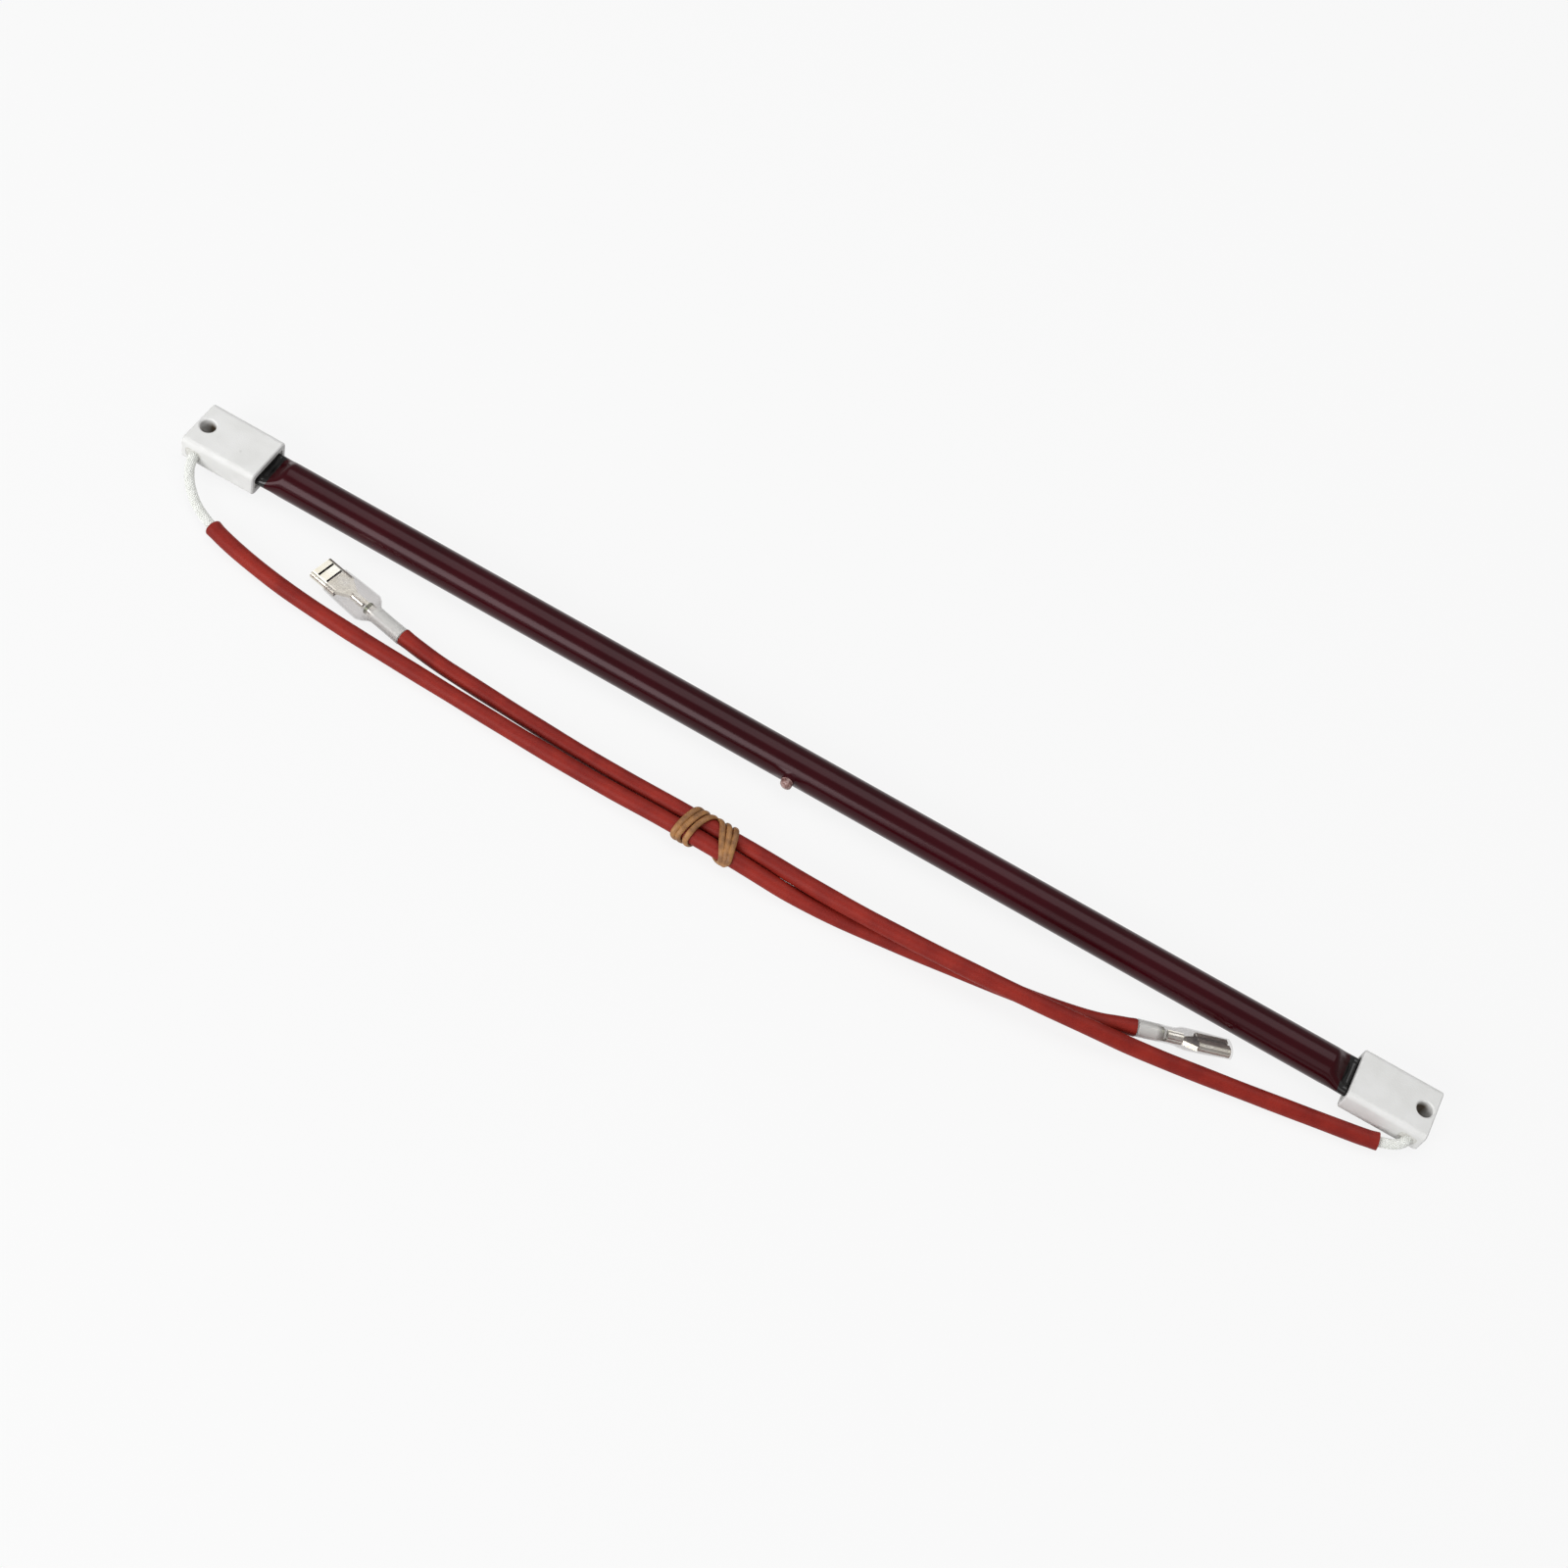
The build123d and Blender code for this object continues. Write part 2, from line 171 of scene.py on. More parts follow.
def node_group(name, inputs, outputs):
    """Empty shader node group with named sockets, and its two end nodes."""
    group = bpy.data.node_groups.new(name, "ShaderNodeTree")
    for in_out, sockets in (("INPUT", inputs), ("OUTPUT", outputs)):
        for socket, kind in sockets:
            group.interface.new_socket(socket, in_out=in_out, socket_type=kind)
    return group, group.nodes.new("NodeGroupInput"), group.nodes.new("NodeGroupOutput")


def clouded_colour():
    """Node group: two colours that drift into each other."""
    colours = (("Light", "NodeSocketColor"), ("Dark", "NodeSocketColor"), ("Scale", "NodeSocketFloat"))
    group, given, result = node_group("clouded_colour", colours, (("Colour", "NodeSocketColor"),))
    place = group.nodes.new("ShaderNodeTexCoord")
    noise = group.nodes.new("ShaderNodeTexNoise")
    noise.inputs["Detail"].default_value = cloud_detail
    spread = group.nodes.new("ShaderNodeMapRange")
    spread.inputs["From Min"].default_value = cloud_from
    spread.inputs["From Max"].default_value = cloud_to
    mix = group.nodes.new("ShaderNodeMix")
    mix.data_type = "RGBA"
    group.links.new(place.outputs["Object"], noise.inputs["Vector"])
    group.links.new(given.outputs["Scale"], noise.inputs["Scale"])
    group.links.new(noise.outputs["Fac"], spread.inputs["Value"])
    group.links.new(spread.outputs["Result"], mix.inputs["Factor"])
    group.links.new(given.outputs["Dark"], mix.inputs["A"])
    group.links.new(given.outputs["Light"], mix.inputs["B"])
    group.links.new(mix.outputs["Result"], result.inputs["Colour"])
    return group


def fine_relief():
    """Node group: small bumps in the surface, as a normal."""
    sizes = (("Scale", "NodeSocketFloat"), ("Depth", "NodeSocketFloat"))
    group, given, result = node_group("fine_relief", sizes, (("Normal", "NodeSocketVector"),))
    place = group.nodes.new("ShaderNodeTexCoord")
    grain = group.nodes.new("ShaderNodeTexNoise")
    grain.inputs["Detail"].default_value = relief_detail
    bump = group.nodes.new("ShaderNodeBump")
    group.links.new(place.outputs["Object"], grain.inputs["Vector"])
    group.links.new(given.outputs["Scale"], grain.inputs["Scale"])
    group.links.new(grain.outputs["Fac"], bump.inputs["Height"])
    group.links.new(given.outputs["Depth"], bump.inputs["Distance"])
    group.links.new(bump.outputs["Normal"], result.inputs["Normal"])
    return group


clouded = clouded_colour()
relief = fine_relief()


def cloud(material, light, dark, scale):
    """Feeds a material's colour from two clouded colours."""
    tree = material.node_tree
    node = tree.nodes.new("ShaderNodeGroup")
    node.node_tree = clouded
    node.inputs["Light"].default_value = (*light, 1)
    node.inputs["Dark"].default_value = (*dark, 1)
    node.inputs["Scale"].default_value = scale
    tree.links.new(node.outputs["Colour"], tree.nodes["Principled BSDF"].inputs["Base Color"])


def roughen(material, scale, depth):
    """Feeds a material's normal from small bumps."""
    tree = material.node_tree
    node = tree.nodes.new("ShaderNodeGroup")
    node.node_tree = relief
    node.inputs["Scale"].default_value = scale
    node.inputs["Depth"].default_value = depth
    tree.links.new(node.outputs["Normal"], tree.nodes["Principled BSDF"].inputs["Normal"])


ruby_quartz = finish(
    "ruby_quartz",
    (0.03, 0.001, 0.003),
    0.21,
    IOR=1.45,
    Specular_IOR_Level=0.27,
    Specular_Tint=(1.0, 0.80, 0.84, 1.0),
)
cloud(ruby_quartz, (0.034, 0.0012, 0.0035), (0.022, 0.0008, 0.002), 30)
roughen(ruby_quartz, 60, 0.00002)
bare_quartz = finish("bare_quartz", (0.01, 0.01, 0.01), 0.1, IOR=1.45, Specular_IOR_Level=0.5)
cloud(bare_quartz, (0.014, 0.013, 0.013), (0.004, 0.004, 0.004), 300)
roughen(bare_quartz, 150, 0.00004)
tip_quartz = finish("tip_quartz", (0.62, 0.30, 0.28), 0.06, IOR=1.46, Transmission_Weight=0.55)
cloud(tip_quartz, (0.80, 0.50, 0.46), (0.22, 0.07, 0.06), 900)


def steps_between(start, end, count):
    """Even steps from just after a start up to an end."""
    return [start + (end - start) * i / count for i in range(1, count + 1)]


tube_xs = [shoulder_start_x * (2 * i / tube_rings - 1) for i in range(tube_rings + 1)]
end_xs = steps_between(shoulder_start_x, seal_start_x, shoulder_rings)
end_xs += steps_between(seal_start_x, seal_end_x, seal_rings)
all_xs = [-x for x in reversed(end_xs)] + tube_xs + end_xs
rings = []
for x in all_xs:
    from_shoulder = smooth((abs(x) - shoulder_start_x) / bow_run)
    to_seal = smooth((seal_start_x - abs(x)) / bow_run)
    rings.append(quartz_ring(x, bow=ruby_end_bow * from_shoulder * to_seal))
tube_skin = skin("tube_skin", rings)
tube = thing("tube_skin", tube_skin, ruby_quartz, bare_quartz, tip_quartz)
for face in tube_skin.polygons:
    middle = face.center
    bow = ruby_end_bow * abs(middle.z - axis_z) / tube_r
    face.material_index = 1 if abs(middle.x) > ruby_end_x - bow else 0

tip_rings = []
for height, radius in tip_profile:
    lean = tip_lean * (max(height, 0) / tip_height) ** 2
    ring = []
    for i in range(tip_sides):
        turn = 2 * math.pi * i / tip_sides
        x = (lean + radius * math.cos(turn)) * mm
        z = axis_z + radius * math.sin(turn) * mm
        ring.append(Vector((x, -tube_r - height * mm, z)))
    tip_rings.append(ring)
tip_end = Vector((tip_lean * mm, -tube_r - tip_height * mm, axis_z))
tip_rings.append([tip_end + (point - tip_end) * tip_end_share for point in tip_rings[-1]])
tip = thing("tip_skin", skin("tip_skin", tip_rings), ruby_quartz, bare_quartz, tip_quartz)
for face in tip.data.polygons:
    face.material_index = 2 if -tube_r - face.center.y > tip_ruby_height * mm else 0
join = tube.modifiers.new("join", "BOOLEAN")
join.operation = "UNION"
join.object = tip
join.solver = "EXACT"
bpy.context.view_layer.update()
outer = bpy.data.meshes.new_from_object(tube.evaluated_get(bpy.context.evaluated_depsgraph_get()))

hollow_rings = []
for x in all_xs:
    if abs(x) >= hollow_end_x:
        continue
    shrink = 1 - smooth((abs(x) - shoulder_start_x) / (hollow_end_x - shoulder_start_x))
    shrink = max(shrink, hollow_end_share)
    middle = Vector((x, 0, axis_z))
    hollow_rings.append([middle + (point - middle) * shrink for point in quartz_ring(x, quartz_wall)])
hollow = skin("hollow_skin", hollow_rings)
hollow.flip_normals()
add_mesh(outer, hollow)
for piece in (tube, tip):
    bpy.data.objects.remove(piece)
outer.shade_smooth()
envelope = thing("quartz_envelope", outer)
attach(envelope, "root")
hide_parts("ruby_quartz_envelope")

# Filament. Tungsten wire wound to a fine close coil along the tube's axis. It hangs in nine flat
# spiral supports, which stay as the frame has them, and ends on the plug of each inner lead.
coil_low, coil_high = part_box("filament_coil")
coil_r = (coil_high.z - coil_low.z) / 2
coil_wire = 0.38 * mm
coil_pitch = 0.62 * mm
coil_steps = 14
coil_wire_sides = 6
support_count = 9


def geometry_tree(name, inputs):
    """Empty geometry node tree with a geometry socket each way and named sizes."""
    tree = bpy.data.node_groups.new(name, "GeometryNodeTree")
    tree.interface.new_socket("Geometry", in_out="INPUT", socket_type="NodeSocketGeometry")
    for socket, kind in inputs:
        tree.interface.new_socket(socket, in_out="INPUT", socket_type=kind)
    tree.interface.new_socket("Geometry", in_out="OUTPUT", socket_type="NodeSocketGeometry")
    return tree, tree.nodes.new("NodeGroupInput"), tree.nodes.new("NodeGroupOutput")


def chain(tree, *steps):
    """Links each output to the input after it."""
    for out_socket, in_socket in steps:
        tree.links.new(out_socket, in_socket)


def made_by(tree, base, name, values):
    """Plain mesh that a geometry node tree makes from a base object, with its sizes set."""
    modifier = base.modifiers.new(name, "NODES")
    modifier.node_group = tree
    for item in tree.interface.items_tree:
        if item.item_type == "SOCKET" and item.in_out == "INPUT" and item.name in values:
            modifier[item.identifier] = values[item.name]
    bpy.context.view_layer.update()
    mesh = bpy.data.meshes.new_from_object(base.evaluated_get(bpy.context.evaluated_depsgraph_get()))
    base.modifiers.remove(modifier)
    return mesh


tungsten = finish("tungsten", (0.30, 0.30, 0.32), 0.42, Metallic=1.0)
cloud(tungsten, (0.36, 0.36, 0.38), (0.24, 0.24, 0.26), 900)
roughen(tungsten, 4000, 0.00001)

coil_tree, given, result = geometry_tree(
    "filament_winding",
    (
        ("Radius", "NodeSocketFloat"),
        ("Length", "NodeSocketFloat"),
        ("Turns", "NodeSocketFloat"),
        ("Wire", "NodeSocketFloat"),
        ("Axis Height", "NodeSocketFloat"),
    ),
)
spiral = coil_tree.nodes.new("GeometryNodeCurveSpiral")
spiral.inputs["Resolution"].default_value = coil_steps
section = coil_tree.nodes.new("GeometryNodeCurvePrimitiveCircle")
section.inputs["Resolution"].default_value = coil_wire_sides
wind = coil_tree.nodes.new("GeometryNodeCurveToMesh")
wind.inputs["Fill Caps"].default_value = True
lay = coil_tree.nodes.new("GeometryNodeTransform")
lay.inputs["Rotation"].default_value = (0, math.pi / 2, 0)
offset = coil_tree.nodes.new("ShaderNodeCombineXYZ")
half = coil_tree.nodes.new("ShaderNodeMath")
half.operation = "MULTIPLY"
half.inputs[1].default_value = -0.5
real = coil_tree.nodes.new("GeometryNodeRealizeInstances")
paint = coil_tree.nodes.new("GeometryNodeSetMaterial")
paint.inputs["Material"].default_value = tungsten
chain(
    coil_tree,
    (given.outputs["Radius"], spiral.inputs["Start Radius"]),
    (given.outputs["Radius"], spiral.inputs["End Radius"]),
    (given.outputs["Length"], spiral.inputs["Height"]),
    (given.outputs["Turns"], spiral.inputs["Rotations"]),
    (given.outputs["Wire"], section.inputs["Radius"]),
    (given.outputs["Length"], half.inputs[0]),
    (half.outputs[0], offset.inputs["X"]),
    (given.outputs["Axis Height"], offset.inputs["Z"]),
    (offset.outputs[0], lay.inputs["Translation"]),
    (spiral.outputs["Curve"], wind.inputs["Curve"]),
    (section.outputs["Curve"], wind.inputs["Profile Curve"]),
    (wind.outputs["Mesh"], lay.inputs["Geometry"]),
    (lay.outputs["Geometry"], real.inputs["Geometry"]),
    (real.outputs["Geometry"], paint.inputs["Geometry"]),
    (paint.outputs["Geometry"], result.inputs["Geometry"]),
)
coil_base = thing("coil_base", bpy.data.meshes.new("coil_base"))
coil_length = coil_high.x - coil_low.x - coil_wire
coil_mesh = made_by(
    coil_tree,
    coil_base,
    "filament_winding",
    {
        "Radius": coil_r - coil_wire / 2,
        "Length": coil_length,
        "Turns": coil_length / coil_pitch,
        "Wire": coil_wire / 2,
        "Axis Height": axis_z,
    },
)
bpy.data.objects.remove(coil_base)
coil_mesh.shade_smooth()
filament = thing("filament_winding", coil_mesh)
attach(filament, "root")
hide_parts("filament_coil")


def dress(node, material):
    """Gives a node of the frame its finish."""
    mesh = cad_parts[node].data
    mesh.materials.clear()
    mesh.materials.append(material)


for i in range(support_count):
    dress(f"filament_support_{i + 1}", tungsten)

# Seals. In each pinch a tungsten lead from the coil is welded to a molybdenum foil, and a
# molybdenum pin leads on to a nickel ferrule, crimped on the lead in the block.
molybdenum = finish("molybdenum", (0.46, 0.46, 0.48), 0.36, Metallic=1.0)
cloud(molybdenum, (0.52, 0.52, 0.54), (0.38, 0.37, 0.38), 700)
nickel = finish("nickel", (0.58, 0.56, 0.52), 0.3, Metallic=1.0)
cloud(nickel, (0.64, 0.62, 0.58), (0.48, 0.46, 0.43), 900)
for side in ("left", "right"):
    dress(f"inner_lead_{side}", tungsten)
    dress(f"seal_foil_{side}", molybdenum)
    dress(f"outer_pin_{side}", molybdenum)
    dress(f"splice_ferrule_{side}", nickel)

# Ceramic blocks. Pressed and fired steatite, unglazed and off-white, with a screw hole, a port for
# the lead and a socket for the pinch. White refractory cement fills the socket and closes the port.
# The holes are painted brown inside as shade, deep down, and a small round painted shade on the left
# block's top stands for a dimple.
hole_x = block_high.x - 3.0 * mm
hole_reach = 2.3 * mm
hole_shade_below = block_high.z - 0.8 * mm
hole_shade_fade = 1.8 * mm
hole_shade_full = 0.2 * mm
hole_shade_gone = 1.5 * mm
port_x = block_high.x - 3.6 * mm
port_width = 4.6 * mm
port_height = 3.4 * mm
port_corner_r = 1.2 * mm
port_sides = 48
plug_inset = 0.1 * mm
plug_depth = 1.6 * mm
dimple_shade_place = (-163.3 * mm, -2.05 * mm, block_high.z)
dimple_shade_r = 0.55 * mm
dimple_shade_strength = 0.35


def sum_of(tree, operation, first, second=None):
    """Math node on two sockets or numbers, as its output."""
    node = tree.nodes.new("ShaderNodeMath")
    node.operation = operation
    for socket, value in zip(node.inputs, (first, second)):
        if isinstance(value, (int, float)):
            socket.default_value = value
        elif value is not None:
            tree.links.new(value, socket)
    return node.outputs[0]


def ramp(tree, value, low, high, result_low=0.0, result_high=1.0):
    """Map range node, as its output."""
    node = tree.nodes.new("ShaderNodeMapRange")
    tree.links.new(value, node.inputs["Value"])
    limits = {"From Min": low, "From Max": high, "To Min": result_low, "To Max": result_high}
    for socket, limit in limits.items():
        node.inputs[socket].default_value = limit
    return node.outputs["Result"]


def within(tree, value, reach):
    """Mask that is 1 where a value lies between minus and plus a reach, as a node's output."""
    return sum_of(tree, "LESS_THAN", sum_of(tree, "ABSOLUTE", value), reach)


def all_of(tree, *masks):
    """Product of several masks, as a node's output."""
    product = masks[0]
    for mask in masks[1:]:
        product = sum_of(tree, "MULTIPLY", product, mask)
    return product


def tint(material, mask, colour):
    """Mixes a colour over what a material has, where the mask is 1."""
    tree = material.node_tree
    base = tree.nodes["Principled BSDF"].inputs["Base Color"]
    mix = tree.nodes.new("ShaderNodeMix")
    mix.data_type = "RGBA"
    tree.links.new(mask, mix.inputs["Factor"])
    tree.links.new(base.links[0].from_socket, mix.inputs["A"])
    mix.inputs["B"].default_value = (*colour, 1)
    tree.links.new(mix.outputs["Result"], base)


steatite = finish("steatite", (0.74, 0.74, 0.72), 0.55, IOR=1.45, Specular_IOR_Level=0.3)
cloud(steatite, (0.76, 0.76, 0.75), (0.71, 0.71, 0.695), 180)
roughen(steatite, 2600, 0.00004)
tree = steatite.node_tree
place = tree.nodes.new("ShaderNodeTexCoord")
parts = tree.nodes.new("ShaderNodeSeparateXYZ")
tree.links.new(place.outputs["Object"], parts.inputs[0])
# Painted shade: brown, deep inside each screw hole and strongest on the side towards the tube.
from_hole = sum_of(tree, "SUBTRACT", sum_of(tree, "ABSOLUTE", parts.outputs["X"]), hole_x)
in_length = within(tree, from_hole, hole_reach)
in_width = within(tree, parts.outputs["Y"], hole_reach)
deep = ramp(tree, parts.outputs["Z"], hole_shade_below - hole_shade_fade, hole_shade_below, 1, 0)
inner_side = ramp(tree, from_hole, hole_shade_full, hole_shade_gone, 1, 0)
tint(steatite, all_of(tree, in_length, in_width, deep, inner_side), (0.12, 0.08, 0.04))
# Painted shade: a small darker round spot on the left block's top, for a dimple.
near = tree.nodes.new("ShaderNodeVectorMath")
near.operation = "DISTANCE"
near.inputs[1].default_value = dimple_shade_place
tree.links.new(place.outputs["Object"], near.inputs[0])
dimple_shade = ramp(tree, near.outputs["Value"], 0, dimple_shade_r, dimple_shade_strength, 0)
tint(steatite, dimple_shade, (0.40, 0.38, 0.36))
cement = finish("cement", (0.70, 0.69, 0.65), 0.9)
cloud(cement, (0.70, 0.70, 0.67), (0.56, 0.55, 0.51), 1200)
roughen(cement, 3500, 0.00003)
for side, sign in (("left", -1), ("right", 1)):
    dress(f"ceramic_block_{side}", steatite)
    dress(f"cement_fill_{side}", cement)
    plug_rings = []
    for depth in (0, plug_depth):
        ring = []
        for i in range(port_sides):
            turn = 2 * math.pi * i / port_sides
            corner_x = math.copysign(port_width / 2 - port_corner_r, math.cos(turn))
            corner_z = math.copysign(port_height / 2 - port_corner_r, math.sin(turn))
            x = sign * port_x + corner_x + port_corner_r * math.cos(turn)
            z = axis_z + corner_z + port_corner_r * math.sin(turn)
            ring.append(Vector((x, block_low.y + plug_inset + depth, z)))
        plug_rings.append(ring)
    plug = thing(f"{side}_port_cement", skin(f"{side}_port_cement", plug_rings), cement)
    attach(plug, "root")

# Lead wires. Stranded core in a white braid of glass yarn, with no plastic on it, since the blocks
# get hot. The braid shows next to each block and under the clear cover of each terminal.
left_route = (
    (-169.0, -4.4, 5.0),
    (-173.6, -4.4, 5.0),
    (-173.4, -9.6, 4.7),
    (-170.0, -14.8, 2.9),
    (-163.1, -20.2, 2.2),
    (-150.0, -24.6, 2.15),
    (-127.0, -28.4, 2.15),
    (-84.0, -30.2, 2.15),
    (-42.0, -31.6, 2.15),
    (-20.0, -31.9, 3.6),
    (2.0, -32.3, 3.6),
    (20.0, -32.4, 2.15),
    (49.0, -28.75, 2.15),
    (79.0, -24.1, 2.15),
    (94.0, -21.0, 2.4),
    (102.0, -18.3, 4.2),
    (111.0, -15.2, 4.2),
)
right_route = (
    (169.0, -4.4, 5.0),
    (174.3, -4.4, 5.0),
    (173.9, -9.6, 4.3),
    (168.0, -11.2, 2.5),
    (156.0, -13.2, 2.15),
    (134.0, -17.2, 2.15),
    (109.0, -22.0, 3.0),
    (93.0, -25.4, 6.0),
    (66.0, -28.4, 6.85),
    (37.0, -29.9, 6.8),
    (20.0, -29.5, 5.95),
    (4.0, -27.75, 4.0),
    (-20.0, -27.3, 3.6),
    (-42.0, -26.8, 2.15),
    (-78.0, -25.0, 2.15),
    (-96.0, -23.7, 2.15),
    (-113.8, -19.9, 2.15),
)
routes = {"left": left_route, "right": right_route}
wire_r = 1.3 * mm
sleeve_start = {"left": 29.0 * mm, "right": 14.5 * mm}
sleeve_end_gap = {"left": 7.4 * mm, "right": 12.8 * mm}
line_steps = 24
core_sides = 20
yarn_r = 0.17 * mm
yarn_sides = 6
yarns_each_way = 12
yarn_pitch = 9.0 * mm
yarn_step = 0.22 * mm
yarn_lift = 0.6
core_r = wire_r - 1.5 * yarn_r
yarn_line_r = wire_r - 1.2 * yarn_r
braid_from = 0.5 * mm
braid_to_end = 0.2 * mm
braid_overlap = 3.0 * mm


def spline_line(name, route, closed=False):
    """Points along the smooth spline of a route that is given in millimetres."""
    curve = bpy.data.curves.new(name, "CURVE")
    curve.dimensions = "3D"
    curve.resolution_u = line_steps
    spline = curve.splines.new("NURBS")
    spline.points.add(len(route) - 1)
    for point, place in zip(spline.points, route):
        point.co = (*(Vector(place) * mm), 1)
    spline.order_u = 3
    spline.use_endpoint_u = not closed
    spline.use_cyclic_u = closed
    line = bpy.data.objects.new(name, curve)
    bpy.context.scene.collection.objects.link(line)
    bpy.context.view_layer.update()
    mesh = bpy.data.meshes.new_from_object(line)
    points = [vertex.co.copy() for vertex in mesh.vertices]
    bpy.data.objects.remove(line)
    return points


def lengths_along(path):
    """Distance from the start at each point of a line."""
    reached = [0.0]
    for before, after in zip(path, path[1:]):
        reached.append(reached[-1] + (after - before).length)
    return reached


def stretch(path, start, end):
    """The part of a line between two distances along it."""
    reached = lengths_along(path)
    part = []
    for i in range(len(path) - 1):
        for distance in (start, end):
            if reached[i] <= distance < reached[i + 1]:
                share = (distance - reached[i]) / (reached[i + 1] - reached[i])
                part.append(path[i].lerp(path[i + 1], share))
        if start < reached[i + 1] < end:
            part.append(path[i + 1])
    return part


def frames_along(path, closed=False):
    """Two directions square to a line at each of its points, turned as little as can be."""
    frames = []
    side = None
    count = len(path)
    for i, point in enumerate(path):
        before = path[i - 1] if closed or i else point
        after = path[(i + 1) % count] if closed or i < count - 1 else point
        ahead = (after - before).normalized()
        side = ahead.orthogonal() if side is None else side - ahead * side.dot(ahead)
        side.normalize()
        frames.append((side.copy(), ahead.cross(side)))
    return frames


def rings_along(path, radii, sides):
    """Round rings of points along a line, with a radius at each of its points."""
    rings = []
    for point, (side, up), radius in zip(path, frames_along(path), radii):
        ring = []
        for i in range(sides):
            turn = 2 * math.pi * i / sides
            ring.append(point + (side * math.cos(turn) + up * math.sin(turn)) * radius)
        rings.append(ring)
    return rings


def vector_of(tree, operation, first, second=None, scale=None):
    """Vector math node on one or two sockets, as its output."""
    node = tree.nodes.new("ShaderNodeVectorMath")
    node.operation = operation
    tree.links.new(first, node.inputs[0])
    if second is not None:
        tree.links.new(second, node.inputs[1])
    if scale is not None:
        tree.links.new(scale, node.inputs["Scale"])
    return node.outputs[0]


glass_braid = finish("glass_braid", (0.80, 0.80, 0.78), 0.62, Sheen_Weight=0.3)
cloud(glass_braid, (0.85, 0.86, 0.83), (0.76, 0.77, 0.73), 700)
roughen(glass_braid, 9000, 0.00006)

braid_tree, given, result = geometry_tree(
    "yarn_braid",
    (
        ("Yarns", "NodeSocketInt"),
        ("Pitch", "NodeSocketFloat"),
        ("Radius", "NodeSocketFloat"),
        ("Yarn Radius", "NodeSocketFloat"),
        ("Step", "NodeSocketFloat"),
    ),
)
even = braid_tree.nodes.new("GeometryNodeResampleCurve")
even.mode = "LENGTH"
copies = braid_tree.nodes.new("GeometryNodeDuplicateElements")
copies.domain = "SPLINE"
place = braid_tree.nodes.new("GeometryNodeSplineParameter")
normal = braid_tree.nodes.new("GeometryNodeInputNormal")
tangent = braid_tree.nodes.new("GeometryNodeInputTangent")
move = braid_tree.nodes.new("GeometryNodeSetPosition")
yarn_section = braid_tree.nodes.new("GeometryNodeCurvePrimitiveCircle")
yarn_section.inputs["Resolution"].default_value = yarn_sides
yarn_mesh = braid_tree.nodes.new("GeometryNodeCurveToMesh")
yarn_mesh.inputs["Fill Caps"].default_value = True
real = braid_tree.nodes.new("GeometryNodeRealizeInstances")
paint = braid_tree.nodes.new("GeometryNodeSetMaterial")
paint.inputs["Material"].default_value = glass_braid
yarns = given.outputs["Yarns"]
index = copies.outputs["Duplicate Index"]
odd = sum_of(braid_tree, "MODULO", index, 2)
way = sum_of(braid_tree, "SUBTRACT", sum_of(braid_tree, "MULTIPLY", odd, 2), 1)
carrier = sum_of(braid_tree, "FLOOR", sum_of(braid_tree, "DIVIDE", index, 2))
wound = sum_of(braid_tree, "DIVIDE", place.outputs["Length"], given.outputs["Pitch"])
start_share = sum_of(braid_tree, "DIVIDE", carrier, yarns)
share = sum_of(braid_tree, "ADD", sum_of(braid_tree, "MULTIPLY", wound, way), start_share)
angle = sum_of(braid_tree, "MULTIPLY", share, 2 * math.pi)
met = sum_of(braid_tree, "MULTIPLY", wound, yarns)
crossings = sum_of(braid_tree, "MULTIPLY", met, 2 * math.pi)
over = sum_of(braid_tree, "MULTIPLY", sum_of(braid_tree, "COSINE", crossings), way)
most = sum_of(braid_tree, "MULTIPLY", given.outputs["Yarn Radius"], yarn_lift)
lift = sum_of(braid_tree, "MULTIPLY", over, most)
reach = sum_of(braid_tree, "ADD", given.outputs["Radius"], lift)
across = vector_of(braid_tree, "CROSS_PRODUCT", tangent.outputs[0], normal.outputs[0])
along_normal = sum_of(braid_tree, "MULTIPLY", sum_of(braid_tree, "COSINE", angle), reach)
along_across = sum_of(braid_tree, "MULTIPLY", sum_of(braid_tree, "SINE", angle), reach)
part_normal = vector_of(braid_tree, "SCALE", normal.outputs[0], scale=along_normal)
part_across = vector_of(braid_tree, "SCALE", across, scale=along_across)
shift = vector_of(braid_tree, "ADD", part_normal, part_across)
chain(
    braid_tree,
    (given.outputs["Geometry"], even.inputs["Curve"]),
    (given.outputs["Step"], even.inputs["Length"]),
    (even.outputs["Curve"], copies.inputs["Geometry"]),
    (sum_of(braid_tree, "MULTIPLY", yarns, 2), copies.inputs["Amount"]),
    (copies.outputs["Geometry"], move.inputs["Geometry"]),
    (shift, move.inputs["Offset"]),
    (move.outputs["Geometry"], yarn_mesh.inputs["Curve"]),
    (given.outputs["Yarn Radius"], yarn_section.inputs["Radius"]),
    (yarn_section.outputs["Curve"], yarn_mesh.inputs["Profile Curve"]),
    (yarn_mesh.outputs["Mesh"], real.inputs["Geometry"]),
    (real.outputs["Geometry"], paint.inputs["Geometry"]),
    (paint.outputs["Geometry"], result.inputs["Geometry"]),
)


